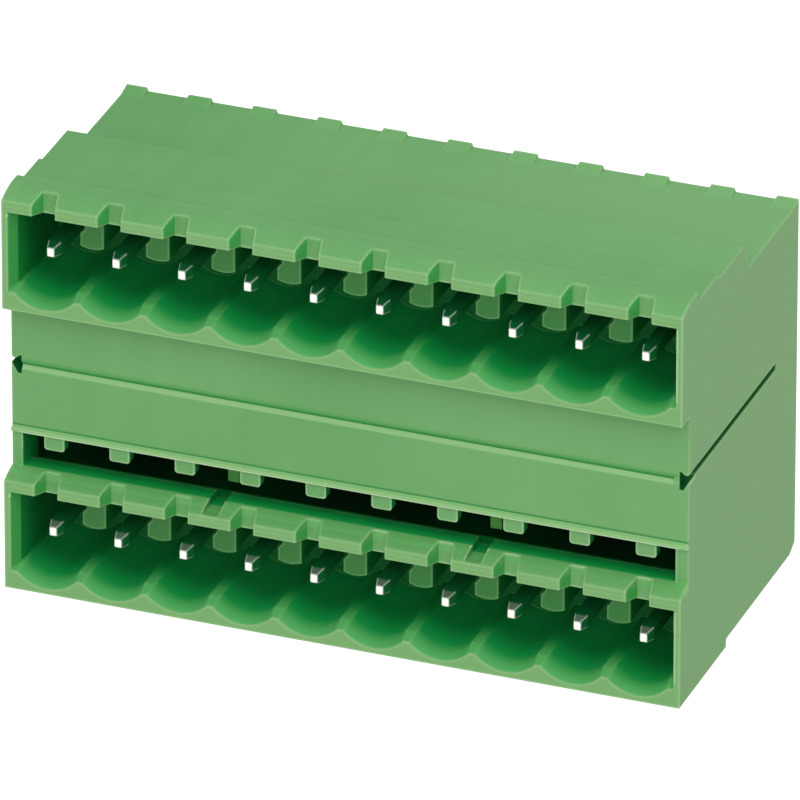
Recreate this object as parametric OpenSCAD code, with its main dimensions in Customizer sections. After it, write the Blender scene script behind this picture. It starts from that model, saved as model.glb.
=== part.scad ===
// Two-level board header for pluggable terminal blocks: one moulded housing with two scalloped
// plug mouths, and two rows of square contacts that are bent down to the board behind it.
// Every shape is drawn with Y = 0 at the mouth faces and Z = 0 at the board, and seated()
// then moves it so that the origin lies under the middle of the front foot.

/* [Rows] */
// Contacts in each of the two rows
poles = 10; // [6:1:12]
// Centre distance between neighbouring contacts
pitch = 5.08; // [5:0.01:5.12]
// Height of the upper row above the lower one
level_rise = 22.86; // [22:0.02:24]

/* [Housing] */
// Solid wall outside the last half pitch at each end
end_wall = 0.74; // [0.7:0.02:1.2]
// Depth of the housing from the mouth faces to the rear
body_d = 24.85; // [24.5:0.05:27]
// How far the plain faces between the mouths stand back
face_setback = 1.75; // [1.5:0.05:2]
// Depth of the front foot that stands on the board
foot_d = 10; // [9:0.1:10.5]
// Clearance between the board and the rest of the underside
foot_rise = 0.65; // [0.4:0.05:0.8]
// Height of the rear roof above the upper row's base
rear_roof = 6.24; // [6.1:0.02:6.4]

/* [Plug mouth] */
// Depth of each plug mouth
mouth_d = 9.2; // [8.8:0.1:9.4]
// Height of the mouth's ceiling above the row's base
ceiling = 7.6; // [7.5:0.02:7.7]
// Height of the front lip's top above the row's base
lip_top = 8.81; // [8.76:0.01:8.9]
// Height of the ridge behind the lip above the row's base
ridge_top = 9.39; // [9.2:0.01:9.5]
// Height of the roof behind the ridge above the row's base
roof = 8.69; // [8.6:0.01:8.75]
// Height of the scallops' axis above the row's base
scallop_axis = 3.55; // [3.5:0.01:3.6]
// Radius of the scallops inside the mouth
scallop_r = 2.78; // [2.7:0.01:2.85]
// Radius of the scallops at the mouth face
scallop_front_r = 3.12; // [3:0.01:3.15]
// Depth of the funnel at the mouth face
funnel_d = 1.2; // [0.8:0.05:1.4]
// Width of a lip notch at the mouth face
notch_w = 1.8; // [1.4:0.05:2]
// Depth of a lip notch
notch_d = 1.5; // [1.2:0.05:1.6]
// Width of a coding rib
rib_w = 1.84; // [1.5:0.02:2]
// Distance of the coding ribs behind the mouth face
rib_setback = 3.1; // [2.8:0.1:3.6]
// Height of the coding ribs' lower edge above the row's base
rib_bottom = 4.55; // [4.4:0.01:5.2]

/* [Recess between the rows] */
// Height of the window's upper edge above the board
window_top = 12.15; // [11.6:0.05:12.4]
// Distance of the window's back edge behind the mouth face
window_d = 4.65; // [4.3:0.05:4.9]
// Width of each web in the chamber behind the window
web_w = 0.92; // [0.7:0.02:1.2]
// Width of the hooks that hang into the window
hook_w = 1.6; // [1:0.05:2]
// Drop of the hooks below the window's upper edge
hook_drop = 1.2; // [0.8:0.05:1.3]

/* [Grooves] */
// Depth of the groove along each side
groove_d = 0.78; // [0.5:0.02:0.8]
// Height of the groove along each side
groove_h = 0.5; // [0.4:0.02:0.6]
// Height of the side groove's lower edge above the board
groove_z = 17.72; // [17.6:0.02:17.8]
// Depth of the V line across the plain faces
vee_d = 0.2; // [0.1:0.01:0.3]

/* [Rear] */
// Width of each channel that is open to the rear
channel_w = 3.1; // [2.8:0.1:3.5]
// Depth of the channels that are open to the rear
channel_d = 4.4; // [4.2:0.1:4.8]
// Rise of the ribs' ends along the rear edge of the roof
tab_h = 0.3; // [0.1:0.05:0.4]

/* [Contacts] */
// Side of the square contact wire
wire = 1; // [0.8:0.02:1]
// Height of the contacts above the row's base
contact_z = 4.53; // [4.5:0.01:4.6]
// Distance of the contact tips behind the mouth face
tip_setback = 1.35; // [1.2:0.05:2]
// Length of the tapered tips
tip_taper = 0.9; // [0.6:0.05:1.2]
// Length of the solder legs below the board face
leg_length = 3.9; // [2.6:0.1:4.5]
// Distance from the mouth face to the lower row's legs
lower_leg_y = 12.4; // [12.4:0.02:13]
// Distance between the two rows of legs
leg_row_gap = 10.16; // [10:0.02:10.2]

/* [Hidden] */
body_w = poles * pitch + 2 * end_wall;
half_w = body_w / 2;
upper_leg_y = lower_leg_y + leg_row_gap;
mouth_side_wall = 0.84;     // side wall beside the contacts
mouth_front_wall = 0.48;    // the same wall at the mouth face, where the funnel opens
cavity_half_w = half_w - mouth_side_wall;
cusp_front_z = 1.46;        // flat top between two scallops at the mouth face
cusp_inner_z = 1.75;        // the same behind the funnel
lip_h = 0.89;               // height of the lip's front face
lip_run = 2.4;              // depth over which the lip rises to its ridge
ridge_back = 3.2;           // where the ridge drops to the roof
step_y = [7.4, 8];           // a shallow step across the roof, from and to
low_roof = roof - 0.35;     // roof behind that step
slope_y = [13, 14.2];       // the slope that faces the rear, from and to
recess_wall = [0.84, 1.04]; // walls left and right of the recess
web_setback = 0.4;          // webs stand this far behind the window's back edge
web_foot = 9.15;            // lower end of the webs, which hang from the chamber's ceiling
web_pitches = 2;            // each web lies this many pitches from the middle
chamber = [window_d, 12, 8.1, 13.2];    // chamber behind the window: y from, y to, z from, z to
slot_w = 1.18;              // slots through the lower ridge, in line with the webs
slot_floor = 8.86;
brow = [0.28, 0.3];         // ledge above the window: how far it stands out, and its height
brow_slope = 0.1;           // rise of the ledge's top towards the plain face
vee_z = [-0.91, -0.15, 0.45];   // V line: foot, bottom and top, from the side groove's lower edge
vee_ends = [0.5, 1.2];      // where the V line stops short of the left and right sides
hook_t = 0.85;              // thickness of the hooks from front to back
hook_r = 0.25;              // rounding of the hooks' lower corners
rib_undercut = 0.35;        // how far a rib's upper left corner is cut back
rib_cut_z = [1, 1.4];       // start and end of that cut's slope above the rib's lower edge
rib_sag = 0.2;              // how far a rib's lower edge bulges down
pocket_y = 11;              // front of the pockets round the lower legs and upper contacts
lower_pocket_top = 5.6;
upper_pocket = [0.64, 5.24];    // floor and top above the upper row's base
groove_stop = 0.25;         // wall left between a side groove and the rear channels
corner_notch_d = 1.2;       // how far the notch at the groove's front runs behind the plain faces
notch_lip_z = [0.36, 0.5, 0.58];    // its upper edge: dip, corner, inner end
tab_d = 1.2;                // depth of the rear tabs
rear_chamfer = [1.1, 0.6];  // chamfer under the rear edge: its depth and height
tab_flank = 0.08;           // slope of the sides of the rear tabs
tip_size = [0.56, 0.74];    // width and height of a contact's flat tip
bend_r = 0.35;              // inside radius of the contacts' bend
past = 1;                   // how far a cutter runs past the face it opens
eps = 0.01;                 // overlap of pieces that are moulded as one
$fn = 48;

LOWER = [for (i = [1 : poles]) str("lower_contact_", i)];
UPPER = [for (i = [1 : poles]) str("upper_contact_", i)];

// X of contact i, counted from 1 at the left seen from the front
function pole_x(i) = (i - (poles + 1) / 2) * pitch;

// X of the boundary between contact k and contact k + 1
function gap_x(k) = (k - poles / 2) * pitch;

// Points on an arc round c, from angle a to angle b
function arc(c, r, a, b, n = 6) =
    [for (i = [0 : n]) c + r * [cos(a + (b - a) * i / n), sin(a + (b - a) * i / n)]];

// Moves the origin under the middle of the front foot
module seated() translate([0, -foot_d / 2, 0]) children();

// Extrudes a side view, drawn as [y, z], to width w about the middle
module from_side(w) rotate([90, 0, 90]) linear_extrude(height = w, center = true) children();

// Extrudes a front view, drawn as [x, z], from y = a to y = b
module from_front(a, b) translate([0, b, 0]) rotate([90, 0, 0]) linear_extrude(height = b - a) children();

// The lip's rounded rise from the mouth face to the ridge
function lip_rise() =
    let (rise = ridge_top - lip_top,
         r = (lip_run * lip_run + rise * rise) / (2 * rise),
         sweep = asin(lip_run / r))
    arc([lip_run, ridge_top - r], r, 90 + sweep, 90);

// Side view of the front of one row, from its base to the ridge
module row_view() polygon(concat([[ridge_back, ridge_top], [ridge_back, 0], [0, 0]], lip_rise()));

// Side view of the whole housing: both rows' fronts and the body behind the plain faces
module side_view() {
    top = level_rise;
    row_view();
    translate([0, top]) row_view();
    polygon([[foot_d, foot_rise], [foot_d, 0], [face_setback, 0],
             [face_setback, top + roof], [step_y[0], top + roof], [step_y[1], top + low_roof],
             [slope_y[0], top + low_roof], [slope_y[1], top + rear_roof],
             [body_d, top + rear_roof],
             [body_d, foot_rise + rear_chamfer[1]], [body_d - rear_chamfer[0], foot_rise]]);
}

// Plan of a plug mouth, with the funnel at its face
module mouth_plan() {
    front = half_w - mouth_front_wall;
    spread = (front - cavity_half_w) / funnel_d * past;
    polygon([[-front - spread, -past], [-cavity_half_w, funnel_d], [-cavity_half_w, mouth_d],
             [cavity_half_w, mouth_d], [cavity_half_w, funnel_d], [front + spread, -past]]);
}

// Side view of a plug mouth above the cusps between its scallops
module mouth_side_view() {
    lip_under = lip_top - lip_h;
    top_slope = (lip_under - ceiling) / notch_d * past;
    cusp_slope = (cusp_inner_z - cusp_front_z) / funnel_d * past;
    polygon([[-past, cusp_front_z - cusp_slope], [funnel_d, cusp_inner_z], [mouth_d, cusp_inner_z],
             [mouth_d, ceiling], [notch_d, ceiling], [-past, lip_under + top_slope]]);
}

// One half-round bay of the mouth's floor, which widens to a funnel at the mouth face
module scallop() {
    flare = (scallop_front_r - scallop_r) / funnel_d * past;
    translate([0, 0, scallop_axis]) rotate([-90, 0, 0]) {
        cylinder(h = mouth_d, r = scallop_r);
        translate([0, 0, -past])
            cylinder(h = funnel_d + past, r1 = scallop_front_r + flare, r2 = scallop_r);
    }
}

// The space that a plug fills
module mouth() {
    intersection() {
        linear_extrude(height = ceiling + past) mouth_plan();
        union() {
            from_side(body_w + 2) mouth_side_view();
            for (i = [1 : poles]) translate([pole_x(i), 0, 0]) scallop();
        }
    }
}

// Notch in the lip above a contact, narrower at the back
module lip_notch() {
    taper = 0.35;
    spread = taper / notch_d * past;
    front = notch_w / 2;
    translate([0, 0, ceiling - eps])
        linear_extrude(height = ridge_top + past - ceiling)
            polygon([[-front - spread, -past], [-front + taper, notch_d],
                     [front - taper, notch_d], [front + spread, -past]]);
}

// Front view of a coding rib: one upper corner is cut back, and the foot is gently rounded
module rib_view() {
    half = rib_w / 2;
    r = (half * half + rib_sag * rib_sag) / (2 * rib_sag);
    sweep = asin(half / r);
    polygon(concat(
        arc([0, rib_bottom - rib_sag + r], r, 270 - sweep, 270 + sweep),
        [[half, ceiling + eps], [-half + rib_undercut, ceiling + eps],
         [-half + rib_undercut, rib_bottom + rib_cut_z[1]], [-half, rib_bottom + rib_cut_z[0]]]));
}

// The coding ribs of one row, the last of which is half in the end wall
module coding_ribs() {
    intersection() {
        from_front(rib_setback, mouth_d + eps)
            for (k = [1 : poles]) translate([gap_x(k), 0]) rib_view();
        translate([-cavity_half_w - eps, 0, 0])
            cube([2 * (cavity_half_w + eps), mouth_d + past, ceiling + past]);
    }
}

// Square passages through the mouth's back wall, one for each contact
module contact_holes(base, to) {
    for (i = [1 : poles])
        translate([pole_x(i) - wire / 2, mouth_d - eps, base + contact_z - wire / 2])
            cube([wire, to - mouth_d + 2 * eps, wire]);
}

// Window above the lower ridge, the chamber behind it, and the slots in line with the webs
module recess() {
    width = body_w - recess_wall[0] - recess_wall[1];
    left = recess_wall[0] - half_w;
    web_x = web_pitches * pitch;
    translate([left + width / 2, 0, 0]) from_side(width) difference() {
        translate([0, roof]) square([window_d + eps, window_top - roof]);
        row_view();
    }
    difference() {
        translate([left, chamber[0], chamber[2]])
            cube([width, chamber[1] - chamber[0], chamber[3] - chamber[2]]);
        for (side = [-1, 1])
            translate([side * web_x - web_w / 2, chamber[0] + web_setback, web_foot])
                cube([web_w, chamber[1], chamber[3]]);
    }
    for (side = [-1, 1])
        translate([side * web_x - slot_w / 2, 0, slot_floor])
            cube([slot_w, chamber[0] + eps, ridge_top - slot_floor + eps]);
}

// Front view of one hook: a tab with rounded lower corners
module hook_view() {
    x = hook_w / 2 - hook_r;
    z = window_top - hook_drop + hook_r;
    polygon(concat(
        arc([x, z], hook_r, 0, -90, 4), arc([-x, z], hook_r, -90, -180, 4),
        [[-hook_w / 2, window_top + eps], [hook_w / 2, window_top + eps]]));
}

// The hooks hang from the window's upper edge, one over each contact
module hooks() {
    from_front(face_setback, face_setback + hook_t)
        for (i = [1 : poles]) translate([pole_x(i), 0]) hook_view();
}

// The ledge along the window's upper edge
module brow_ledge() {
    from_side(body_w)
        polygon([[face_setback + eps, window_top], [face_setback - brow[0], window_top],
                 [face_setback - brow[0], window_top + brow[1]],
                 [face_setback + eps, window_top + brow[1] + brow_slope]]);
}

// The V line across the plain faces, which opens into the left corner notch
module vee_line() {
    translate([(vee_ends[0] - vee_ends[1]) / 2, 0, 0])
        from_side(body_w - vee_ends[0] - vee_ends[1])
            polygon([[face_setback - vee_d, groove_z + vee_z[2]],
                     [face_setback + vee_d, groove_z + vee_z[1]],
                     [face_setback - vee_d, groove_z + vee_z[0]]]);
}

// Groove along one side, with a notch in the corner ahead of it
module side_groove() {
    notch_end = face_setback + corner_notch_d;
    translate([half_w - groove_d, notch_end - eps, groove_z])
        cube([groove_d + past, body_d - channel_d - groove_stop - notch_end + eps, groove_h]);
    from_front(0, notch_end) translate([half_w, groove_z]) corner_notch_view();
}

// Front view of that notch, from the groove's lower edge at the side: it falls away inwards,
// and its upper edge dips near the corner
module corner_notch_view() {
    bottom = -0.87;
    foot = -0.5;
    polygon([[-groove_d, bottom], [foot, bottom], [0, 0], [past, 0],
             [past, notch_lip_z[1]], [0, notch_lip_z[1]], [-0.15, notch_lip_z[0]],
             [-0.4, notch_lip_z[0]], [-0.6, notch_lip_z[2]], [-groove_d, notch_lip_z[2]]]);
}

// Side view of one rear channel with the pockets that lead forward to the contacts
module channel_view() {
    front = body_d - channel_d;
    floor_z = level_rise + upper_pocket[0];
    top_z = level_rise + upper_pocket[1];
    polygon([[body_d + past, -past], [pocket_y, -past], [pocket_y, lower_pocket_top],
             [front, lower_pocket_top], [front, floor_z], [pocket_y, floor_z],
             [pocket_y, top_z], [body_d + past, top_z]]);
}

module rear_channels() {
    for (i = [1 : poles]) translate([pole_x(i), 0, 0]) from_side(channel_w) channel_view();
}

// Ends of the ribs between the rear channels, which rise a little above the roof's rear edge
module rear_tabs() {
    half = (pitch - channel_w) / 2;
    base_z = level_rise + rear_roof;
    intersection() {
        from_side(body_w)
            polygon([[body_d - tab_d, base_z - eps], [body_d, base_z - eps],
                     [body_d, base_z + tab_h], [body_d - tab_d, base_z]]);
        from_front(0, body_d + past)
            for (k = [0 : poles]) {
                left = -half - (k == 0 ? end_wall : 0);
                right = half + (k == poles ? end_wall : 0);
                translate([gap_x(k), base_z - eps])
                    polygon([[left, 0], [right, 0],
                             [right - tab_flank, tab_h + 2 * eps],
                             [left + tab_flank, tab_h + 2 * eps]]);
            }
    }
}

module housing() color("mediumseagreen") seated() {
    difference() {
        union() {
            from_side(body_w) side_view();
            brow_ledge();
            rear_tabs();
        }
        for (base = [0, level_rise]) translate([0, 0, base]) {
            mouth();
            for (i = [1 : poles]) translate([pole_x(i), 0, 0]) lip_notch();
        }
        contact_holes(0, pocket_y);
        contact_holes(level_rise, pocket_y);
        recess();
        vee_line();
        for (side = [0, 1]) mirror([side, 0, 0]) side_groove();
        rear_channels();
    }
    for (base = [0, level_rise]) translate([0, 0, base]) coding_ribs();
    hooks();
}

// Side view of a contact, tapered at both ends: z is its height, leg_y where it turns down
module contact_side_view(z, leg_y) {
    half = wire / 2;
    tip_half = tip_size[1] / 2;
    out_r = bend_r + wire;
    c = [leg_y - half - bend_r, z - half - bend_r];
    polygon(concat(
        [[tip_setback, z + tip_half], [tip_setback + tip_taper, z + half]],
        arc(c, out_r, 90, 0, 8),
        [[leg_y + half, -leg_length + tip_taper], [leg_y + tip_half, -leg_length],
         [leg_y - tip_half, -leg_length], [leg_y - half, -leg_length + tip_taper]],
        arc(c, bend_r, 0, 90, 8),
        [[tip_setback + tip_taper, z - half], [tip_setback, z - tip_half]]));
}

// A square contact: its side view, narrowed at the tip seen from above and from the front
module contact(i, z, leg_y) {
    half = wire / 2;
    tip_half = tip_size[0] / 2;
    rear = leg_y + wire;
    high = z + wire;
    color("silver") seated() translate([pole_x(i), 0, 0]) intersection() {
        from_side(wire) contact_side_view(z, leg_y);
        translate([0, 0, -leg_length - past])
            linear_extrude(height = leg_length + high + past)
                polygon([[-tip_half, tip_setback], [tip_half, tip_setback],
                         [half, tip_setback + tip_taper], [half, rear],
                         [-half, rear], [-half, tip_setback + tip_taper]]);
        from_front(0, rear + past)
            polygon([[-tip_half, -leg_length], [tip_half, -leg_length],
                     [half, -leg_length + tip_taper], [half, high],
                     [-half, high], [-half, -leg_length + tip_taper]]);
    }
}

module lower_contact(i) contact(i, contact_z, lower_leg_y);

module upper_contact(i) contact(i, level_rise + contact_z, upper_leg_y);

housing();
for (i = [1 : poles]) lower_contact(i);
for (i = [1 : poles]) upper_contact(i);
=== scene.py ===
# %% [markdown]
# # Two-level header for pluggable terminal blocks
# A green moulded housing stands on its solder legs, with two scalloped plug mouths one above the
# other and ten tinned square contacts in each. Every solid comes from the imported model, at its
# real size and in its real place. They could be shown as they are, but flat colours and knife
# edges look like plastic toys, so this script gives them procedural finishes, the small radii
# that a mould leaves on every edge, and a light table to stand on.

import math

import bpy
from mathutils import Matrix, Vector


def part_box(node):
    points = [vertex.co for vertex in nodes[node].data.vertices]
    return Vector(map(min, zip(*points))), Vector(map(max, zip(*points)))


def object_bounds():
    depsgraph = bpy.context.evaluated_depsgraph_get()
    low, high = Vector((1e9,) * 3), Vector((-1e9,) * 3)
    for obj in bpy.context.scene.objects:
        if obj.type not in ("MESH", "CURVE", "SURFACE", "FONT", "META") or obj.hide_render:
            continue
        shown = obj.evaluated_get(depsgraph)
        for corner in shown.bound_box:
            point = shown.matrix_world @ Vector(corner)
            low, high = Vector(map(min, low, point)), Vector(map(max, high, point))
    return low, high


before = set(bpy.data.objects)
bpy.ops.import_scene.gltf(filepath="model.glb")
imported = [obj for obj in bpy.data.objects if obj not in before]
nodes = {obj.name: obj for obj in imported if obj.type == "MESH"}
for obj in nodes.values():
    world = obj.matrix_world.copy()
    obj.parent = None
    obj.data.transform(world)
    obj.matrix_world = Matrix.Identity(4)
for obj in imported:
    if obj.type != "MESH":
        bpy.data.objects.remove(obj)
cad_low, cad_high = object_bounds()
bpy.ops.object.select_all(action="DESELECT")
print("nodes:", len(nodes), "size in mm:", [round(1000 * v, 2) for v in cad_high - cad_low])

# %% [markdown]
# ## Places to work from
# The finishes change inside the plug mouths and behind the window, so the script needs to know
# where those are. The contacts tell it: their tips stand just inside the mouth faces, and their
# axes give the height and the pitch of both rows.

# %% Landmarks taken from the nodes
MM = 0.001
housing_low, housing_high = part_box("housing")
poles = sum(name.startswith("lower_contact_") for name in nodes)


def tip(row, number):
    """Middle of a contact's front end."""
    low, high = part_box(f"{row}_contact_{number}")
    half_wire = (high.x - low.x) / 2
    return Vector(((low.x + high.x) / 2, low.y, high.z - half_wire))


pitch = (tip("lower", poles).x - tip("lower", 1).x) / (poles - 1)
level_rise = tip("upper", 1).z - tip("lower", 1).z
mouth_y = housing_low.y
print("poles:", poles, "pitch:", round(pitch / MM, 3), "rise:", round(level_rise / MM, 3))

# %% [markdown]
# ## Building blocks for the finishes
# A finish is a small network of nodes. It could be drawn by hand in the shader editor, but a
# script keeps it readable and gives the same result each time. One helper adds a node and sets
# its values, and another adds a sum whose operands are numbers or other nodes' outputs.

# %% Helpers: a node, and a sum


def add(tree, kind, **values):
    """A node of that kind. Names that are sockets set the socket, others set the node itself."""
    node = tree.nodes.new("ShaderNode" + kind)
    for name, value in values.items():
        socket = name.replace("_", " ")
        if hasattr(node, name):
            setattr(node, name, value)
        else:
            node.inputs[socket].default_value = value
    return node


def math_node(tree, operation, first, second=None, third=None, clamp=False):
    """A Math node's output. Each operand is a number or a socket."""
    node = tree.nodes.new("ShaderNodeMath")
    node.operation = operation
    node.use_clamp = clamp
    for slot, operand in zip(node.inputs, (first, second, third)):
        if isinstance(operand, (int, float)):
            slot.default_value = operand
        elif operand is not None:
            tree.links.new(operand, slot)
    return node.outputs[0]


print("helpers:", add.__name__, math_node.__name__)

# %% [markdown]
# ## Effects that two materials share
# The plastic and the metal both have painted edge highlights and a grain. Copying the nodes would
# double the work of every change, so each effect is a node group with named inputs: it is built
# once and placed in each material with that material's own values.

# %% Helpers: make a node group, and place it


def new_group(name, inputs, outputs):
    """An empty node group with its sockets: (name, type, default) in, (name, type) out."""
    tree = bpy.data.node_groups.new(name, "ShaderNodeTree")
    for label, kind, value in inputs:
        socket = tree.interface.new_socket(label, in_out="INPUT", socket_type=kind)
        socket.default_value = value
    for label, kind in outputs:
        tree.interface.new_socket(label, in_out="OUTPUT", socket_type=kind)
    return tree, tree.nodes.new("NodeGroupInput"), tree.nodes.new("NodeGroupOutput")


def place_group(tree, group, **values):
    """Places a node group in a material with its own values."""
    node = tree.nodes.new("ShaderNodeGroup")
    node.node_tree = group
    for name, value in values.items():
        node.inputs[name.replace("_", " ")].default_value = value
    return node


print("helpers:", new_group.__name__, place_group.__name__)

# %% [markdown]
# ## Edges that catch the light
# No moulded or formed edge is truly sharp, and the thin radius is where the light shows, so the
# materials paint a highlight there. A Bevel node could find the edges from the normals, but it
# also marks hollow corners. Ambient occlusion that looks inwards is dark only where the solid is
# thin, so it finds the outer edges alone. The same group serves the plastic and the metal, each
# with its own width.

# %% Node group: edge mask
edge_group, edge_in, edge_out = new_group(
    "edge_highlight_mask",
    [("Width", "NodeSocketFloat", 0.1 * MM), ("Gain", "NodeSocketFloat", 1.0)],
    [("Mask", "NodeSocketFloat")],
)
thin = add(edge_group, "AmbientOcclusion", samples=6, inside=True)
edge_group.links.new(edge_in.outputs["Width"], thin.inputs["Distance"])
near = math_node(edge_group, "SUBTRACT", 1.0, thin.outputs["AO"], clamp=True)
strong = math_node(edge_group, "MULTIPLY", near, edge_in.outputs["Gain"], clamp=True)
edge_group.links.new(strong, edge_out.inputs["Mask"])
print("group:", edge_group.name)

# %% [markdown]
# ## Grain
# Spark-eroded mould walls leave a very fine, even grain, and tinning leaves a slightly uneven
# skin. A scanned texture would need pictures and an unwrapped mesh. Two noises do the same from
# the shape alone: a fine one for the relief, and a coarse one for slow changes in tone.

# %% Node group: surface grain
grain_group, grain_in, grain_out = new_group(
    "surface_grain",
    [
        ("Fine Scale", "NodeSocketFloat", 9000.0),
        ("Coarse Scale", "NodeSocketFloat", 90.0),
    ],
    [("Height", "NodeSocketFloat"), ("Tone", "NodeSocketFloat")],
)
grain_place = add(grain_group, "TexCoord")
fine = add(grain_group, "TexNoise", Detail=3.0, Roughness=0.6)
coarse = add(grain_group, "TexNoise", Detail=4.0, Roughness=0.55)
for noise, scale in ((fine, "Fine Scale"), (coarse, "Coarse Scale")):
    grain_group.links.new(grain_place.outputs["Object"], noise.inputs["Vector"])
    grain_group.links.new(grain_in.outputs[scale], noise.inputs["Scale"])
grain_group.links.new(fine.outputs["Fac"], grain_out.inputs["Height"])
grain_group.links.new(coarse.outputs["Fac"], grain_out.inputs["Tone"])
print("group:", grain_group.name)

# %% [markdown]
# ## Painted shade in the plug mouths
# Green polyamide swallows red and blue, so light that bounces about in a hollow comes out darker
# and much greener than the light on the outside. More light bounces would show some of it, but
# slowly and too weakly. Ambient occlusion that looks outwards finds the hollows, and the material
# paints that shade into its colour there as a deeper green.

# %% Node group: hollows
hollow_shade_group, hollow_in, hollow_out = new_group(
    "hollow_shade_mask",
    [
        ("Reach", "NodeSocketFloat", 6 * MM),
        ("Open", "NodeSocketFloat", 0.7),
        ("Shut", "NodeSocketFloat", 0.1),
    ],
    [("Mask", "NodeSocketFloat")],
)
nearby = add(hollow_shade_group, "AmbientOcclusion", samples=8)
hollow_shade_group.links.new(hollow_in.outputs["Reach"], nearby.inputs["Distance"])
share = add(hollow_shade_group, "MapRange", interpolation_type="SMOOTHSTEP")
hollow_shade_group.links.new(nearby.outputs["AO"], share.inputs["Value"])
hollow_shade_group.links.new(hollow_in.outputs["Open"], share.inputs["From Min"])
hollow_shade_group.links.new(hollow_in.outputs["Shut"], share.inputs["From Max"])
hollow_shade_group.links.new(share.outputs["Result"], hollow_out.inputs["Mask"])
print("group:", hollow_shade_group.name)

# %% [markdown]
# ## Where on the housing a point lies
# Some tones belong to a place, such as the painted shade in the bays of the mouths or in the
# recess. Separate materials for separate faces would need the mesh to be split, and the imported
# mesh stays as it is. So the material works out where a point lies. Both rows are the same shape
# one level apart, so the height is folded: what is left after whole levels are taken off is the
# height above the row's base.

# %% Node group: places on the housing
places_group, places_in, places_out = new_group(
    "housing_places",
    [],
    [
        ("Depth", "NodeSocketFloat"),
        ("Row Height", "NodeSocketFloat"),
        ("Height", "NodeSocketFloat"),
        ("Aside", "NodeSocketFloat"),
        ("Across", "NodeSocketFloat"),
    ],
)
point = add(places_group, "TexCoord")
axes = add(places_group, "SeparateXYZ")
places_group.links.new(point.outputs["Object"], axes.inputs[0])
depth = math_node(places_group, "SUBTRACT", axes.outputs["Y"], mouth_y)
above = math_node(places_group, "SUBTRACT", axes.outputs["Z"], housing_low.z)
row_height = math_node(places_group, "MODULO", above, level_rise)
aside = math_node(places_group, "ABSOLUTE", axes.outputs["X"])
places_group.links.new(depth, places_out.inputs["Depth"])
places_group.links.new(row_height, places_out.inputs["Row Height"])
places_group.links.new(above, places_out.inputs["Height"])
places_group.links.new(aside, places_out.inputs["Aside"])
places_group.links.new(axes.outputs["X"], places_out.inputs["Across"])
print("group:", places_group.name)

# %% [markdown]
# ## Masks
# A mask is a number from 0 to 1 that says how much of a colour a point gets. A ramp makes one
# from any number, a band keeps a range of it, and masks multiplied together leave only the place
# where all of them hold. The ends are a little soft, so that no tone stops like a cut.

# %% Helpers: ramps, bands and blends


def ramp(tree, source, low, high):
    """Maps low..high of a socket smoothly to 0..1."""
    node = add(tree, "MapRange", interpolation_type="SMOOTHSTEP")
    tree.links.new(source, node.inputs["Value"])
    node.inputs["From Min"].default_value = low
    node.inputs["From Max"].default_value = high
    return node.outputs["Result"]


def within(tree, source, low, high, soft):
    """A mask that is 1 where a socket lies between low and high, with soft ends."""
    rise = ramp(tree, source, low - soft / 2, low + soft / 2)
    fall = ramp(tree, source, high + soft / 2, high - soft / 2)
    return math_node(tree, "MULTIPLY", rise, fall)


def all_of(tree, *masks):
    """The product of several masks."""
    result = masks[0]
    for mask in masks[1:]:
        result = math_node(tree, "MULTIPLY", result, mask)
    return result


def blend_colours(tree, factor, first, second):
    """A Mix node for colours. Each colour is a tuple or a socket."""
    node = tree.nodes.new("ShaderNodeMix")
    node.data_type = "RGBA"
    if isinstance(factor, (int, float)):
        node.inputs[0].default_value = factor
    else:
        tree.links.new(factor, node.inputs[0])
    for slot, colour in ((node.inputs[6], first), (node.inputs[7], second)):
        if isinstance(colour, tuple):
            slot.default_value = (*colour, 1.0)
        else:
            tree.links.new(colour, slot)
    return node.outputs[2]


print("helpers:", ramp.__name__, within.__name__, all_of.__name__, blend_colours.__name__)

# %% Helper: the places of one material


class Places:
    """The places of the housing as sockets of one material. All lengths are millimetres."""

    def __init__(self, tree):
        spot = place_group(tree, places_group)
        facing = add(tree, "SeparateXYZ")
        tree.links.new(add(tree, "NewGeometry").outputs["True Normal"], facing.inputs[0])
        self.tree = tree
        self.across = spot.outputs["Across"]
        self.aside = spot.outputs["Aside"]
        self.depth = spot.outputs["Depth"]
        self.height = spot.outputs["Height"]
        self.row = spot.outputs["Row Height"]
        self.up = facing.outputs["Z"]
        self.sideways = math_node(tree, "ABSOLUTE", facing.outputs["X"])
        self.rearward = facing.outputs["Y"]

    def band(self, socket, low, high, soft=0.04):
        """A mask for a range of a socket."""
        return within(self.tree, socket, low * MM, high * MM, soft * MM)

    def beyond(self, socket, low, high):
        """A mask that rises from low to high, or falls if high is the lower one."""
        return ramp(self.tree, socket, low * MM, high * MM)

    def inset(self, wall):
        """A mask for all that lies further in than a side wall of that thickness."""
        edge = half_width - wall
        return self.beyond(self.aside, edge, edge - 0.04)

    def outset(self, wall):
        """A mask for the last part of the right end, of that thickness."""
        edge = half_width - wall
        return self.beyond(self.across, edge - 0.1, edge)

    def front_facing(self):
        """A mask for the faces that look towards the plug."""
        return ramp(self.tree, self.rearward, -0.8, -0.95)

    def side_facing(self):
        """A mask for the faces that look to the left or the right."""
        return ramp(self.tree, self.sideways, 0.9, 0.95)


half_width = housing_high.x / MM
print("half width of the housing in mm:", round(half_width, 2))

# %% [markdown]
# ## The green of the plastic
# A moulding has no single colour. It drifts a little where the melt cooled at different speeds,
# and the milled mould leaves faint upright lines. One noise gives the drift, and a second one,
# squeezed across the row and stretched along the height, gives the lines. Towards the right end
# the faces are slightly lighter. Over that, the roof and the fronts towards the right get painted
# light, and the end walls painted shade.

# %% Tool lines
LINE_SCALE = (260.0, 6.0, 6.0)


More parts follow.
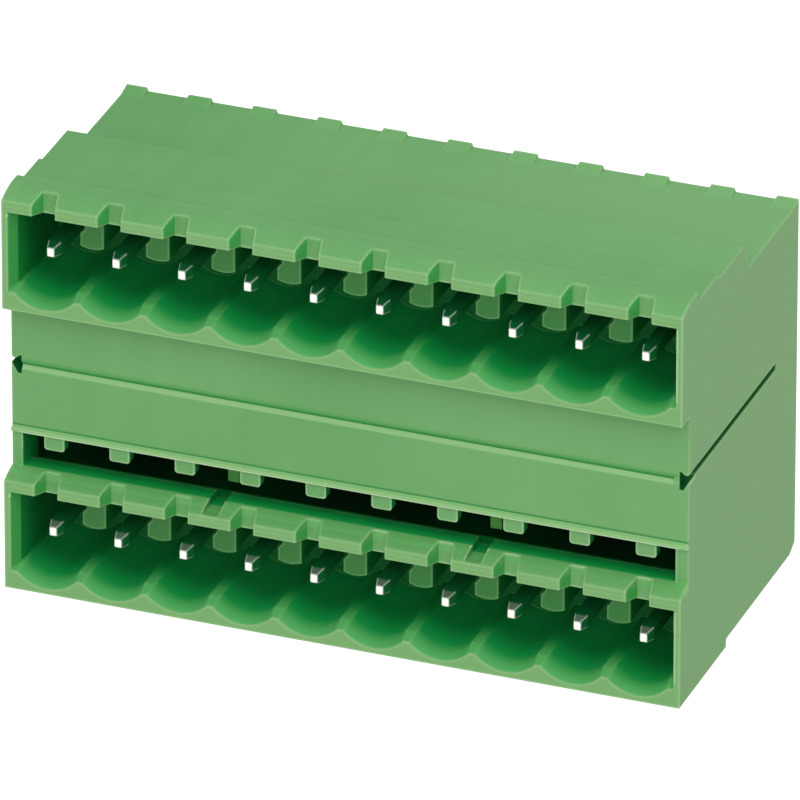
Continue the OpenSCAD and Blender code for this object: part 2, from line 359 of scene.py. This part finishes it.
def tool_lines(tree):
    """Faint upright lines, as a mask."""
    place = add(tree, "TexCoord")
    squeeze = add(tree, "Mapping")
    squeeze.inputs["Scale"].default_value = LINE_SCALE
    tree.links.new(place.outputs["Object"], squeeze.inputs["Vector"])
    lines = add(tree, "TexNoise", Scale=1.0, Detail=5.0, Roughness=0.7)
    tree.links.new(squeeze.outputs["Vector"], lines.inputs["Vector"])
    return ramp(tree, lines.outputs["Fac"], 0.35, 0.65)


print("tool lines, scale across, along and up:", LINE_SCALE)

# %% Colour of the outer faces
GREEN = (0.118, 0.372, 0.108)
PALE_GREEN = (0.152, 0.420, 0.134)
LIT_GREEN = (0.185, 0.455, 0.160)
SHADED_END_GREEN = (0.104, 0.340, 0.094)
LINE_SHARE, DRIFT_SHARE, FAR_END_SHARE, FRONT_SHARE = 0.35, 0.65, 0.4, 0.3
ROOF_LIGHT_DEPTH = 20


def outer_colour(places, drift):
    """The plastic's green with its drift, its lines and its lighter right end, painted light on
    the roof and the fronts, and painted shade on the end walls.
    """
    tree = places.tree
    tone = math_node(tree, "MULTIPLY", ramp(tree, drift, 0.3, 0.7), DRIFT_SHARE)
    tone = math_node(tree, "MULTIPLY_ADD", tool_lines(tree), LINE_SHARE, tone)
    far_end = places.beyond(places.across, 0, half_width)
    tone = math_node(tree, "MULTIPLY_ADD", far_end, FAR_END_SHARE, tone, clamp=True)
    colour = blend_colours(tree, tone, GREEN, PALE_GREEN)
    # Painted light on the roof, growing towards the right and the rear.
    roof = all_of(
        tree,
        ramp(tree, places.up, 0.8, 0.95),
        places.beyond(places.across, -half_width, half_width),
        places.beyond(places.depth, 0, ROOF_LIGHT_DEPTH),
    )
    colour = blend_colours(tree, roof, colour, LIT_GREEN)
    # Painted light on the fronts towards the right.
    right = places.beyond(places.across, -0.4 * half_width, 0.6 * half_width)
    fronts = all_of(tree, places.front_facing(), right)
    fronts = math_node(tree, "MULTIPLY", fronts, FRONT_SHARE)
    colour = blend_colours(tree, fronts, colour, LIT_GREEN)
    # Painted shade on the end walls.
    at_end = places.beyond(places.aside, half_width - 0.04, half_width - 0.02)
    outside = all_of(tree, places.side_facing(), at_end)
    return blend_colours(tree, outside, colour, SHADED_END_GREEN)


print("greens:", GREEN, PALE_GREEN, LIT_GREEN, SHADED_END_GREEN)

# %% [markdown]
# ## The mouth faces
# The mouth faces stand out into the light, so they are painted lighter, with a faint painted
# highlight line along each lip. The flanks of the notches in the lips face each other and get
# painted shade, a purer green. Each tone is a colour laid over the one before through a mask, as
# a painter lays one glaze over another, so that any of them can be changed by itself.

# %% Paint the mouth faces
LIT_FACE_GREEN = (0.180, 0.440, 0.142)
EDGE_HIGHLIGHT_GREEN = (0.360, 0.640, 0.290)
SHADED_FLANK_GREEN = (0.065, 0.440, 0.095)
NOTCH_ROWS, NOTCH_DEPTHS = (7.5, 9.6), (0.08, 3.3)
HIGHLIGHT_LINE_ROWS, HIGHLIGHT_LINE_SHARE = (8.34, 8.44), 0.2


def paint_faces(places, colour):
    """Painted light on the mouth faces, a painted highlight line along the lips, and painted
    shade on the flanks of the lips' notches.
    """
    tree = places.tree
    # Painted light on the mouth faces.
    front = places.beyond(places.depth, 0.12, 0.04)
    colour = blend_colours(tree, front, colour, LIT_FACE_GREEN)
    # A painted highlight line along each lip.
    line_highlight = all_of(tree, front, places.band(places.row, *HIGHLIGHT_LINE_ROWS), places.inset(0.3))
    faint = math_node(tree, "MULTIPLY", line_highlight, HIGHLIGHT_LINE_SHARE)
    colour = blend_colours(tree, faint, colour, EDGE_HIGHLIGHT_GREEN)
    # Painted shade on the flanks of the notches.
    flank = all_of(
        tree,
        ramp(tree, places.sideways, 0.6, 0.8),
        places.band(places.depth, *NOTCH_DEPTHS),
        places.band(places.row, *NOTCH_ROWS),
        places.inset(0.1),
    )
    return blend_colours(tree, flank, colour, SHADED_FLANK_GREEN)


# The rows printed here are those of the painted highlight line along the lips.
print("parting line, above the row's base:", HIGHLIGHT_LINE_ROWS)

# %% [markdown]
# ## The plug mouths
# Light reaches only a little way into the plug mouths, and their shade is painted into the
# colour.
# Behind the faces the funnels are still fairly light, and the bays turn to a deep, pure green of
# painted shade. On the scalloped floor that change is gentle, on the end walls it is a crisp line
# where the funnel ends, and along the cusps between the bays it is slow. Right at the back the
# floor gets a little painted light, as if from the back wall. Shadow alone would turn the green
# grey, so each step inwards has a colour of its own, and the fronts of the coding ribs get
# painted shade too.

# %% Paint the bays
FUNNEL_SHADE_GREEN = (0.105, 0.480, 0.130)
INNER_SHADE_GREEN = (0.006, 0.330, 0.065)
DEEP_SHADE_GREEN = (0.0015, 0.215, 0.040)
BACK_LIGHT_GREEN = (0.012, 0.420, 0.090)
RIB_SHADE_GREEN = (0.022, 0.220, 0.034)
MOUTH_ROWS, MOUTH_DEPTHS, MOUTH_WALL = (0.3, 7.6), (0.08, 9.4), 0.42
CUSP_ROWS = (1.3, 1.85)
RIB_DEPTHS, RIB_FOOT = (2.9, 3.3), 4.0


def paint_bays(places, colour):
    """Painted shade in the funnels, the bays behind them and on the fronts of the coding ribs,
    and painted light on the deepest floor.
    """
    tree = places.tree
    mouth = all_of(
        tree,
        places.inset(MOUTH_WALL),
        places.band(places.row, *MOUTH_ROWS),
        places.band(places.depth, *MOUTH_DEPTHS, soft=0.06),
    )
    # Painted shade, growing inwards: the funnels, the end walls, the bays and the deepest parts.
    funnel = blend_colours(tree, mouth, colour, FUNNEL_SHADE_GREEN)
    wall = all_of(tree, places.side_facing(), places.beyond(places.row, 1.7, 1.9))
    funnel = blend_colours(tree, all_of(tree, mouth, wall), funnel, SHADED_FLANK_GREEN)
    cusp = all_of(tree, ramp(tree, places.up, 0.93, 0.965), places.band(places.row, *CUSP_ROWS))
    gentle = places.beyond(places.depth, 0.2, 2.2)
    crisp = places.beyond(places.depth, 1.15, 1.25)
    slow = places.beyond(places.depth, 0.6, 5)
    start = blend_colours(tree, wall, gentle, crisp)
    start = blend_colours(tree, cusp, start, slow)
    inner = blend_colours(tree, all_of(tree, mouth, start), funnel, INNER_SHADE_GREEN)
    deep = all_of(tree, mouth, places.beyond(places.depth, 1.2, 5))
    colour = blend_colours(tree, deep, inner, DEEP_SHADE_GREEN)
    # Painted light on the floor at the very back.
    back = all_of(tree, mouth, ramp(tree, places.up, 0.1, 0.5), places.beyond(places.depth, 5, 9))
    colour = blend_colours(tree, back, colour, BACK_LIGHT_GREEN)
    # Painted shade on the fronts of the coding ribs.
    ribs = all_of(
        tree,
        mouth,
        places.front_facing(),
        places.band(places.depth, *RIB_DEPTHS),
        places.beyond(places.row, RIB_FOOT, RIB_FOOT + 0.1),
    )
    return blend_colours(tree, ribs, colour, RIB_SHADE_GREEN)


print("mouth, above the row's base:", MOUTH_ROWS, "behind the face:", MOUTH_DEPTHS)

# %% [markdown]
# ## The ledge and the ridge
# A narrow ledge with hooks hangs over the recess between the rows, and the lower row's ridge
# stands in front of it. Both lie open and get painted light, while the crease above the ledge
# gets a thin painted shade. The three zones differ only in their places, so one loop lays them
# all.

# %% Paint the ledge and the ridge
LIT_RIDGE_GREEN = (0.140, 0.450, 0.130)
LIT_LEDGE_GREEN = (0.250, 0.520, 0.190)
SHADE_GREEN = (0.038, 0.275, 0.062)
LIP_HEIGHTS, LIP_DEPTHS = (8.6, 9.6), (0.7, 1.8)
LEDGE_HEIGHTS, LEDGE_DEPTHS = (12.17, 12.6), (1.3, 1.74)
CREASE_HEIGHTS, CREASE_DEPTHS = (12.6, 12.75), (1.6, 1.8)


def paint_ledge(places, colour):
    """Painted light on the ridge before the recess and the ledge over it, and painted shade in
    the crease above the ledge.
    """
    tree = places.tree
    # Painted light on the ridge and the ledge, and painted shade in the crease.
    for heights, depths, softs, new_colour in (
        (LIP_HEIGHTS, LIP_DEPTHS, (0.04, 0.1), LIT_RIDGE_GREEN),
        (LEDGE_HEIGHTS, LEDGE_DEPTHS, (0.04, 0.04), LIT_LEDGE_GREEN),
        (CREASE_HEIGHTS, CREASE_DEPTHS, (0.06, 0.04), SHADE_GREEN),
    ):
        zone = all_of(
            tree,
            places.band(places.height, *heights, soft=softs[0]),
            places.band(places.depth, *depths, soft=softs[1]),
        )
        colour = blend_colours(tree, zone, colour, new_colour)
    return colour


print("ridge and ledge, above the board:", LIP_HEIGHTS, LEDGE_HEIGHTS)

# %% [markdown]
# ## The recess between the rows
# Under the upper row a recess runs into a dark chamber, so its floor and its ends get a deep
# green of painted shade and the chamber a painted shade that is nearly black. Two webs in it
# stand far enough forward to catch some light, which is painted onto their fronts. They hang two
# pitches to either side of the middle, so the pitch says where they are.

# %% Paint the recess
LIT_WEB_GREEN = (0.220, 0.680, 0.155)
CHAMBER_SHADE_GREEN = (0.0005, 0.036, 0.009)
RECESS_HEIGHTS, RECESS_DEPTHS, RECESS_WALL = (8.0, 12.14), (1.8, 4.7), 0.8
CHAMBER_HEIGHTS, CHAMBER_DEPTHS = (8.0, 13.3), (4.72, 12.2)
WEB_HEIGHTS, WEB_DEPTHS = (9.1, 12.2), (5.0, 5.1)
WEB_PLACE = 2 * pitch / MM


def paint_recess(places, colour):
    """Painted shade on the floor and the ends of the recess and in its chamber, and painted light
    on the fronts of its webs.
    """
    tree = places.tree
    # Painted shade on the recess, its floor and its chamber.
    recess = all_of(
        tree,
        places.inset(RECESS_WALL),
        places.band(places.height, *RECESS_HEIGHTS),
        places.band(places.depth, *RECESS_DEPTHS, soft=0.08),
        ramp(tree, places.rearward, -0.9, -0.8),
    )
    colour = blend_colours(tree, recess, colour, INNER_SHADE_GREEN)
    floor = all_of(tree, recess, places.up, places.beyond(places.depth, 1.6, 3.4))
    colour = blend_colours(tree, floor, colour, DEEP_SHADE_GREEN)
    chamber = all_of(
        tree,
        places.inset(RECESS_WALL),
        places.band(places.height, *CHAMBER_HEIGHTS),
        places.band(places.depth, *CHAMBER_DEPTHS),
    )
    colour = blend_colours(tree, chamber, colour, CHAMBER_SHADE_GREEN)
    # Painted light on the fronts of the webs.
    webs = all_of(
        tree,
        places.band(places.aside, WEB_PLACE - 0.5, WEB_PLACE + 0.5),
        places.band(places.height, *WEB_HEIGHTS),
        places.band(places.depth, *WEB_DEPTHS),
        places.front_facing(),
    )
    return blend_colours(tree, webs, colour, LIT_WEB_GREEN)


print("recess, above the board:", RECESS_HEIGHTS, "webs aside:", round(WEB_PLACE, 2))

# %% [markdown]
# ## The V line and the side grooves
# A V-shaped line crosses the plain faces between the mouths and runs into a groove on each side.
# The lower flank of the V looks up and gets painted light, and the upper one a painted shade,
# which fades out on the face just above. The grooves are too narrow for light to reach their
# bottom, so they get painted shade. The lines are real cuts in the solid, and only their tones
# are set here.

# %% Paint the V line and the grooves
GROOVE_SHADE_GREEN = (0.003, 0.110, 0.022)
LIT_VEE_GREEN = (0.290, 0.570, 0.235)
VEE_SHADE = (0.006, 0.290, 0.026)
SHADE_ABOVE_VEE = (0.052, 0.335, 0.062)
VEE_DEPTHS, LIT_HEIGHTS, SHADED_HEIGHTS = (1.76, 2.0), (17.2, 17.57), (17.57, 17.86)
ABOVE_DEPTHS, ABOVE_HEIGHTS = (1.6, 1.9), (17.86, 18.5)
ABOVE_FADE = (18.28, 17.84)
GROOVE_HEIGHTS, GROOVE_DEPTHS = (16.8, 18.32), (1.84, 24.0)


def paint_lines(places, colour):
    """Painted light and shade on the flanks of the V line, the soft painted shade above it, and
    painted shade in the grooves in the end walls.
    """
    tree = places.tree
    vee = all_of(tree, places.band(places.depth, *VEE_DEPTHS), places.inset(RECESS_WALL))
    # Painted light on the lower flank of the V and painted shade on the upper one.
    for heights, new_colour in ((LIT_HEIGHTS, LIT_VEE_GREEN), (SHADED_HEIGHTS, VEE_SHADE)):
        flank = all_of(tree, vee, places.band(places.height, *heights, soft=0.02))
        colour = blend_colours(tree, flank, colour, new_colour)
    # Painted shade fading out on the face above the V.
    above = all_of(
        tree,
        places.inset(RECESS_WALL),
        places.band(places.depth, *ABOVE_DEPTHS),
        places.band(places.height, *ABOVE_HEIGHTS),
        places.beyond(places.height, *ABOVE_FADE),
    )
    colour = blend_colours(tree, above, colour, SHADE_ABOVE_VEE)
    # Painted shade in the grooves.
    outer = half_width - RECESS_WALL
    grooves = all_of(
        tree,
        places.beyond(places.aside, outer - 0.04, outer),
        places.inset(0.02),
        places.band(places.height, *GROOVE_HEIGHTS),
        places.band(places.depth, *GROOVE_DEPTHS),
    )
    return blend_colours(tree, grooves, colour, GROOVE_SHADE_GREEN)


print("V line, above the board:", LIT_HEIGHTS, SHADED_HEIGHTS)

# %% [markdown]
# ## Pale edges, a painted highlight
# A rounded edge catches the light, so the edges get a pale painted highlight. Edges in the open
# at the front show it most, and the hooks, the lips and the right-hand jambs are almost cream.
# One edge mask finds all of them, and the places decide how strong and how creamy each is.

# %% How strongly an edge shows
FRONT_FADE, REAR_RISE, RIB_EDGE_DEPTHS = (1.9, 1.5), (18, 20), (3.0, 3.4)
FAINT_SHARE, RIGHT_END_SHARE = 0.5, 0.6


def exposure(places):
    """How strongly the painted edge highlight shows: fully at the front, less at the right end,
    ribs and rear.
    """
    tree = places.tree
    forward = places.beyond(places.depth, *FRONT_FADE)
    rib_heights = places.beyond(places.row, RIB_FOOT, RIB_FOOT + 0.2)
    ribs = all_of(tree, places.band(places.depth, *RIB_EDGE_DEPTHS), rib_heights)
    rear = places.beyond(places.depth, *REAR_RISE)
    faint = math_node(tree, "MULTIPLY", math_node(tree, "MAXIMUM", ribs, rear), FAINT_SHARE)
    right_end = math_node(tree, "MULTIPLY", places.outset(0.3), RIGHT_END_SHARE)
    shown = math_node(tree, "MAXIMUM", forward, faint)
    return math_node(tree, "MAXIMUM", shown, right_end)


print("edges show fully up to", FRONT_FADE[1], "mm behind the mouth faces")

# %% Where the edges are creamy
HOOK_HEIGHTS, JAMB_HEIGHTS, JAMB_DEPTHS = (10.7, 12.26), (9.3, 12.2), (1.4, 1.95)
LIP_EDGE_ROWS, WALL_EDGE_ROWS, FACE_DEPTHS = (7.5, 7.8), (2.0, 7.8), (-0.1, 0.15)


def cream_highlight_places(places):
    """A mask for the cream painted highlight: the hooks, the lips' lower edges, and the
    right-hand jambs.
    """
    tree = places.tree
    jambs = places.band(places.depth, *JAMB_DEPTHS)
    faces = places.band(places.depth, *FACE_DEPTHS)
    right = places.beyond(places.across, 0, 1)
    zones = (
        (jambs, places.band(places.height, *HOOK_HEIGHTS), places.inset(0.7)),
        (faces, places.band(places.row, *LIP_EDGE_ROWS), places.inset(0.35)),
        (faces, places.band(places.row, *WALL_EDGE_ROWS), places.inset(0.25), places.outset(0.7)),
        (jambs, places.band(places.height, *JAMB_HEIGHTS), places.inset(0.6), right),
    )
    creamy = all_of(tree, *zones[0])
    for zone in zones[1:]:
        creamy = math_node(tree, "MAXIMUM", creamy, all_of(tree, *zone))
    return creamy


print("creamy hooks and jambs, above the board:", HOOK_HEIGHTS, JAMB_HEIGHTS)

# %% Paint the edges
CREAM_HIGHLIGHT_GREEN = (0.620, 0.820, 0.520)
EDGE_WIDTH, EDGE_GAIN, CREAM_BOOST = 0.22 * MM, 1.8, 1.2


def paint_edges(places, colour):
    """Painted edge highlights over all the other colours."""
    tree = places.tree
    edges = place_group(tree, edge_group, Width=EDGE_WIDTH, Gain=EDGE_GAIN)
    creamy = cream_highlight_places(places)
    boost = math_node(tree, "MULTIPLY_ADD", creamy, CREAM_BOOST, 1.0)
    strength = math_node(tree, "MULTIPLY", exposure(places), boost)
    # Painted highlight along the edges.
    highlighted = math_node(tree, "MULTIPLY", edges.outputs["Mask"], strength, clamp=True)
    edge_colour = blend_colours(tree, creamy, EDGE_HIGHLIGHT_GREEN, CREAM_HIGHLIGHT_GREEN)
    return blend_colours(tree, highlighted, colour, edge_colour)


print("edge width in mm:", round(EDGE_WIDTH / MM, 3))

# %% [markdown]
# ## The housing's material
# The housing is a satin, slightly glossy polyamide. A plain Principled shader has the right
# gloss, so only its colour, roughness and relief change over the surface. The painted light and
# shade of the places are laid over the base colour one after the other, then the painted shade of
# the hollows, and last the painted edge highlights.

# %% Material: moulded green plastic


def plastic():
    """Satin green polyamide with moulded grain and tool lines, painted light and shade by place
    and in the hollows, and painted edge highlights.
    """
    material = bpy.data.materials.new("moulded_green_plastic")
    material.use_nodes = True
    tree = material.node_tree
    shader = tree.nodes["Principled BSDF"]
    shader.inputs["IOR"].default_value = 1.5
    grain = place_group(tree, grain_group, Fine_Scale=7000.0, Coarse_Scale=70.0)
    hollows = place_group(tree, hollow_shade_group, Reach=6 * MM, Open=0.5, Shut=0.0)
    places = Places(tree)

    colour = outer_colour(places, grain.outputs["Tone"])
    for paint in (paint_faces, paint_bays, paint_ledge, paint_recess, paint_lines):
        colour = paint(places, colour)
    # Painted shade in the hollows.
    colour = blend_colours(tree, hollows.outputs["Mask"], colour, DEEP_SHADE_GREEN)
    tree.links.new(paint_edges(places, colour), shader.inputs["Base Color"])

    roughness = math_node(tree, "MULTIPLY_ADD", grain.outputs["Height"], 0.16, 0.38)
    tree.links.new(roughness, shader.inputs["Roughness"])
    bump = add(tree, "Bump", Strength=0.25, Distance=0.02 * MM)
    tree.links.new(grain.outputs["Height"], bump.inputs["Height"])
    tree.links.new(bump.outputs["Normal"], shader.inputs["Normal"])
    return material


green = plastic()
print("material:", green.name, "nodes:", len(green.node_tree.nodes))

# %% [markdown]
# ## The contacts' tinned metal
# The contacts are bronze wire with a bright tin skin, duller in patches. A plain metal would
# mirror the dark of the mouths and leave black bars there, while the real shafts reflect the
# green of the walls around them. So inside a mouth the shaft carries a painted reflection of that
# green, darker on top, and only the tip and the legs stay bare tin. The punched ends get a
# painted glint with a dark painted rim, the tops of the lower tips painted light, and the edges,
# except along the shafts in the mouths, a painted highlight.

# %% Colour of the tin
TIN = (0.80, 0.78, 0.74)
DULL_TIN = (0.62, 0.60, 0.57)
EDGE_HIGHLIGHT_TIN = (0.95, 0.94, 0.92)
END_GLINT_TIN = (0.920, 0.970, 1.000)
RIM_REFLECTION_TIN = (0.020, 0.040, 0.025)
SHAFT_REFLECTION_GREEN = (0.006, 0.170, 0.046)
SHAFT_TOP_REFLECTION_GREEN = (0.004, 0.120, 0.034)
LIT_FACET = (0.130, 0.200, 0.135)
tip_depth = (tip("lower", 1).y - mouth_y) / MM
SHAFT_END, LOWER_TOP, RIM_SHARE = 9.2, 8.0, 0.85


def tin_colour(places, tone, edge):
    """The colour and the metallic mask of tin, with a painted reflection of the mouths' green on
    the shafts, painted light and glints on the tips, and painted highlights on the edges.
    """
    tree = places.tree
    skin = blend_colours(tree, tone, TIN, DULL_TIN)
    # Painted glint on the punched end.
    cut = places.band(places.depth, tip_depth - 0.1, tip_depth + 0.05)
    skin = blend_colours(tree, cut, skin, END_GLINT_TIN)
    # Painted reflection of the mouths' green on the shafts, darker on top.
    shaft = places.band(places.depth, tip_depth + 0.05, SHAFT_END)
    shade = blend_colours(tree, places.up, SHAFT_REFLECTION_GREEN, SHAFT_TOP_REFLECTION_GREEN)
    skin = blend_colours(tree, shaft, skin, shade)
    # Painted light on the tapered tops of the lower tips.
    taper = places.band(places.depth, tip_depth + 0.05, tip_depth + 0.8, 0.1)
    lower = places.band(places.height, 0, LOWER_TOP)
    facet = all_of(tree, taper, lower, ramp(tree, places.up, 0.3, 0.6))
    skin = blend_colours(tree, facet, skin, LIT_FACET)
    # Painted highlight on the edges, except along the shafts in the mouths.
    behind = places.band(places.depth, tip_depth + 0.9, SHAFT_END, 0.2)
    shine = all_of(tree, edge, math_node(tree, "SUBTRACT", 1.0, behind))
    highlighted = blend_colours(tree, shine, skin, EDGE_HIGHLIGHT_TIN)
    # Painted dark reflection along the rim of the punched end.
    rim = math_node(tree, "MULTIPLY", all_of(tree, cut, edge), RIM_SHARE)
    metallic = ramp(tree, math_node(tree, "MAXIMUM", shaft, taper), 1.0, 0.0)
    return blend_colours(tree, rim, highlighted, RIM_REFLECTION_TIN), metallic


print("tips, behind the mouth faces:", round(tip_depth, 2), "mm")

# %% Material: bright tin


def tinned():
    """Bright tin over bronze, with duller patches, painted edge highlights and painted
    reflections in the mouths.
    """
    material = bpy.data.materials.new("bright_tin")
    material.use_nodes = True
    tree = material.node_tree
    shader = tree.nodes["Principled BSDF"]
    grain = place_group(tree, grain_group, Fine_Scale=9000.0, Coarse_Scale=900.0)
    edges = place_group(tree, edge_group, Width=0.12 * MM, Gain=2.5)
    patches = ramp(tree, grain.outputs["Tone"], 0.3, 0.7)
    colour, metallic = tin_colour(Places(tree), patches, edges.outputs["Mask"])
    tree.links.new(colour, shader.inputs["Base Color"])
    tree.links.new(metallic, shader.inputs["Metallic"])
    roughness = math_node(tree, "MULTIPLY_ADD", patches, 0.06, 0.3)
    tree.links.new(roughness, shader.inputs["Roughness"])
    bump = add(tree, "Bump", Strength=0.1, Distance=0.005 * MM)
    tree.links.new(grain.outputs["Height"], bump.inputs["Height"])
    tree.links.new(bump.outputs["Normal"], shader.inputs["Normal"])
    return material


tin = tinned()
print("material:", tin.name, "nodes:", len(tin.node_tree.nodes))

# %% [markdown]
# ## Rounded edges
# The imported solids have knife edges. Editing the mesh would round them for good, but the packed
# mesh has to stay as it is, so live modifiers do it. Welding joins the loose triangles,
# dissolving removes the flat ones, and the bevel then gives each sharp edge the small radius
# that the mould or the wire has.

# %% Round and dress every node
EDGE_RADIUS = 0.06 * MM
WELD_GAP = 0.001 * MM
FLAT_ANGLE, SHARP_ANGLE = math.radians(0.5), math.radians(30)


def round_edges(node):
    """Adds live modifiers that round every sharp edge."""
    weld = node.modifiers.new("weld", "WELD")
    weld.merge_threshold = WELD_GAP
    flat = node.modifiers.new("flat", "DECIMATE")
    flat.decimate_type = "DISSOLVE"
    flat.angle_limit = FLAT_ANGLE
    bevel = node.modifiers.new("radius", "BEVEL")
    bevel.width = EDGE_RADIUS
    bevel.segments = 2
    bevel.limit_method = "ANGLE"
    bevel.angle_limit = SHARP_ANGLE
    bevel.use_clamp_overlap = False


def dress(node, material):
    """Puts one material in every slot of a node."""
    if not node.material_slots:
        node.data.materials.append(material)
    for slot in node.material_slots:
        slot.material = material


for name, node in nodes.items():
    dress(node, green if name == "housing" else tin)
    round_edges(node)
print("dressed:", len(nodes), "nodes, radius in mm:", round(EDGE_RADIUS / MM, 3))

# %% [markdown]
# ## A light table
# Small parts like this are shown on a bright, shadowless table. A white plane with lamps alone
# would show a grey shadow, so the floor shines a little itself. To the eye it is white, and the
# light that it throws up at the part is slightly warm, as from a room.

# %% Floor
FLOOR_SIZE = 6.0
FLOOR_GAP = 0.05 * MM
WARM_LIGHT, WHITE_LIGHT = (0.94, 0.92, 0.76), (1.0, 1.0, 1.0)
bpy.ops.mesh.primitive_plane_add(size=FLOOR_SIZE, location=(0, 0, cad_low.z - FLOOR_GAP))
floor = bpy.context.object
floor.name = "floor"
paper = bpy.data.materials.new("light_table")
paper.use_nodes = True
paper_tree = paper.node_tree
paper_shader = paper_tree.nodes["Principled BSDF"]
paper_shader.inputs["Base Color"].default_value = (0.3, 0.3, 0.3, 1)
paper_shader.inputs["Roughness"].default_value = 0.9
ray = add(paper_tree, "LightPath")
glow = blend_colours(paper_tree, ray.outputs["Is Camera Ray"], WARM_LIGHT, WHITE_LIGHT)
paper_tree.links.new(glow, paper_shader.inputs["Emission Color"])
paper_shader.inputs["Emission Strength"].default_value = 1.0
floor.data.materials.append(paper)
floor.visible_diffuse = False
print("floor:", FLOOR_SIZE, "m wide,", round(FLOOR_GAP / MM, 2), "mm under the legs")

# %% [markdown]
# ## Soft light from all sides
# Soft boxes stand in front and to the right, over an even white surround, so that the roof, the
# front and the side come out almost equally bright. A single small lamp would be simpler, but it
# would leave hard shadows in the mouths.

# %% Soft boxes
centre = (cad_low + cad_high) / 2


def soft_box(name, azimuth, elevation, distance, size, watts):
    """A square area light that looks at the part from that direction."""
    a, e = math.radians(azimuth), math.radians(elevation)
    away = Vector((math.sin(a) * math.cos(e), -math.cos(a) * math.cos(e), math.sin(e)))
    lamp = bpy.data.lights.new(name, "AREA")
    lamp.size = size
    lamp.energy = watts
    holder = bpy.data.objects.new(name, lamp)
    holder.location = centre + away * distance
    holder.rotation_euler = (-away).to_track_quat("-Z", "Y").to_euler()
    bpy.context.scene.collection.objects.link(holder)
    return holder


key = soft_box("key", 15, 42, 0.9, 0.9, 4.8)
side = soft_box("side", 95, 30, 0.9, 0.6, 0.6)
print("lights:", key.name, side.name)

# %% [markdown]
# ## The surround
# The room around the table is white too. It is brightest straight above and below and dimmer at
# the height of the part, so the upright faces don't wash out. A sky texture would tint the
# part, and a plain grey would flatten it, so the brightness is a sum of powers of the height.

# %% Surround
SKY, HORIZON, BOUNCE = 0.7, 0.45, 0.8
world = bpy.data.worlds.new("surround")
world.use_nodes = True
sky = world.node_tree
direction = add(sky, "TexCoord")
split = add(sky, "SeparateXYZ")
sky.links.new(direction.outputs["Generated"], split.inputs[0])
above_part = math_node(sky, "MAXIMUM", split.outputs["Z"], 0.0)
below_part = math_node(sky, "MULTIPLY", split.outputs["Z"], -1.0)
below_part = math_node(sky, "MAXIMUM", below_part, 0.0)
raised = math_node(sky, "POWER", above_part, 2.0)
sunk = math_node(sky, "POWER", below_part, 2.0)
level = math_node(sky, "MULTIPLY_ADD", raised, SKY - HORIZON, HORIZON)
level = math_node(sky, "MULTIPLY_ADD", sunk, BOUNCE - HORIZON, level)
background = sky.nodes["Background"]
sky.links.new(level, background.inputs["Strength"])
background.inputs["Color"].default_value = (1, 1, 1, 1)
bpy.context.scene.world = world
bpy.context.scene.view_settings.view_transform = "Standard"
print("surround above, level and below:", SKY, HORIZON, BOUNCE)

# %% [markdown]
# ## The camera
# A wide lens close by would make the near end loom, so a long lens stands far away and keeps the
# upright edges almost parallel. The camera stands to the right of the row and looks down on it.

# %% Camera
AZIMUTH, ELEVATION, ROLL = (math.radians(angle) for angle in (20.6036, 27.7736, 0.0593))
DISTANCE = 1.3
LENS = 806.86
SHIFT_RIGHT, SHIFT_UP = -0.8125 * MM, 0.5659 * MM
aim = Vector((0, mouth_y + 10 * MM, 16 * MM))
right = Vector((math.cos(AZIMUTH), math.sin(AZIMUTH), 0))
back = Vector(
    (
        math.sin(AZIMUTH) * math.cos(ELEVATION),
        -math.cos(AZIMUTH) * math.cos(ELEVATION),
        math.sin(ELEVATION),
    )
)
up = back.cross(right)
right, up = (
    right * math.cos(ROLL) + up * math.sin(ROLL),
    up * math.cos(ROLL) - right * math.sin(ROLL),
)
camera = bpy.data.objects.new("camera", bpy.data.cameras.new("camera"))
camera.data.sensor_width = 36
camera.data.lens = LENS
camera.data.clip_end = 20
turned = Matrix((right, up, back)).transposed().to_4x4()
camera.matrix_world = (
    Matrix.Translation(aim - right * SHIFT_RIGHT - up * SHIFT_UP + back * DISTANCE) @ turned
)
bpy.context.scene.collection.objects.link(camera)
bpy.context.scene.camera = camera
print("camera:", LENS, "mm lens,", DISTANCE, "m away")
